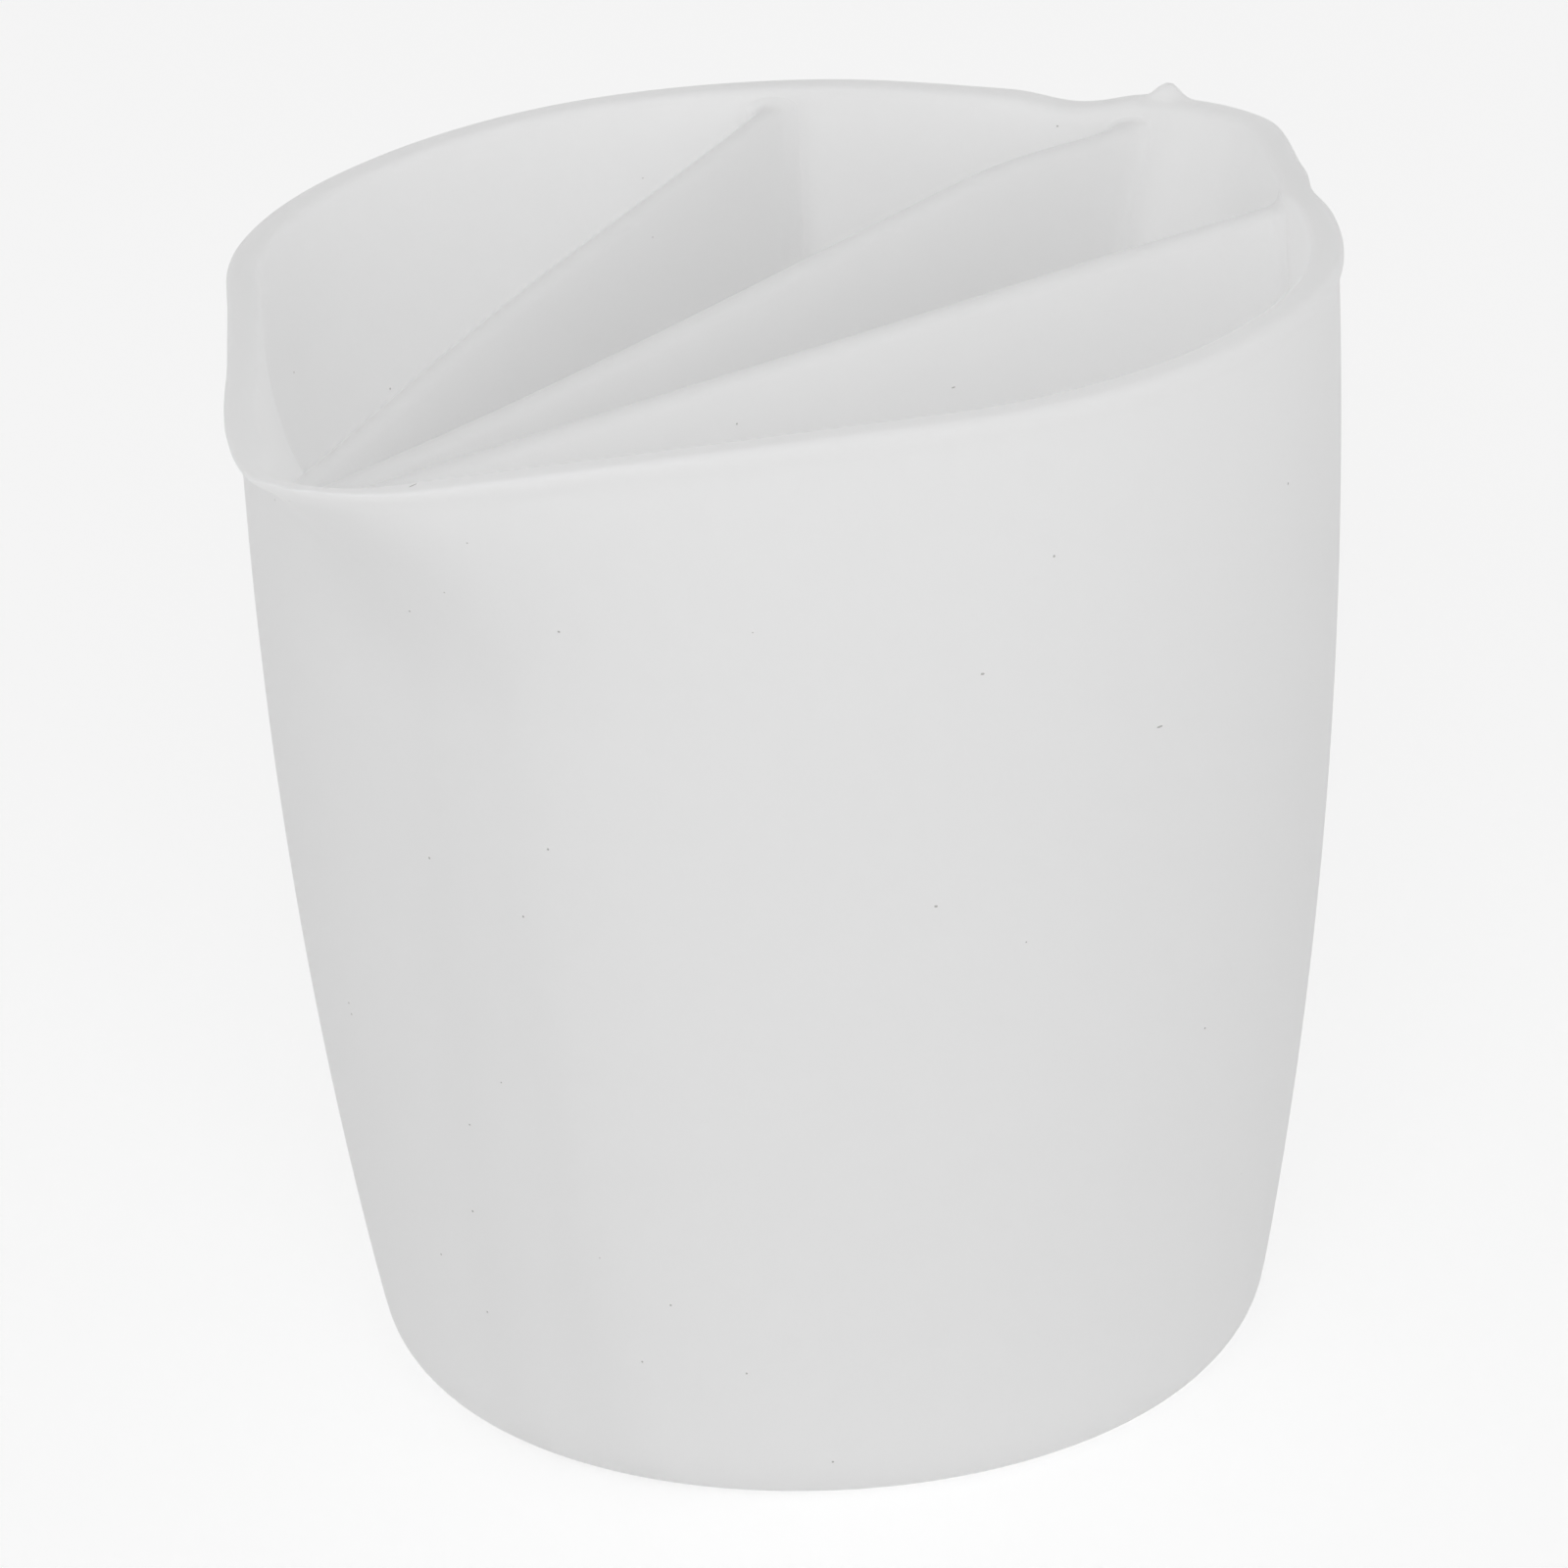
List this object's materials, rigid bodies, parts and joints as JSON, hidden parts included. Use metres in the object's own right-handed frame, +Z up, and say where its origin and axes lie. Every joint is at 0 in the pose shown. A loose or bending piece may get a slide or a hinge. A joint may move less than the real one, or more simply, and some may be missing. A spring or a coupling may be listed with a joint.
{
  "type": "split pour cup",
  "caption": "Soft silicone pouring cup with a rounded heel, opposite pouring spouts and fanned inner dividers that keep paints apart until they meet at the lip.",
  "frame": {"origin": "centre of the flat underside, on the table", "axes": "+Z up along the cup's axis, -Y towards the front spout where the dividers come together, +X to the right of someone who looks from the front spout to the rear"},
  "size_m": [0.0914, 0.1212, 0.098],
  "materials": {
    "silicone": "translucent white moulded silicone, satin"
  },
  "bodies": {
    "root": {"cup_base": "silicone", "cup_wall": "silicone", "divider_left": "silicone", "divider_middle": "silicone", "divider_right": "silicone"}
  },
  "joints": []
}
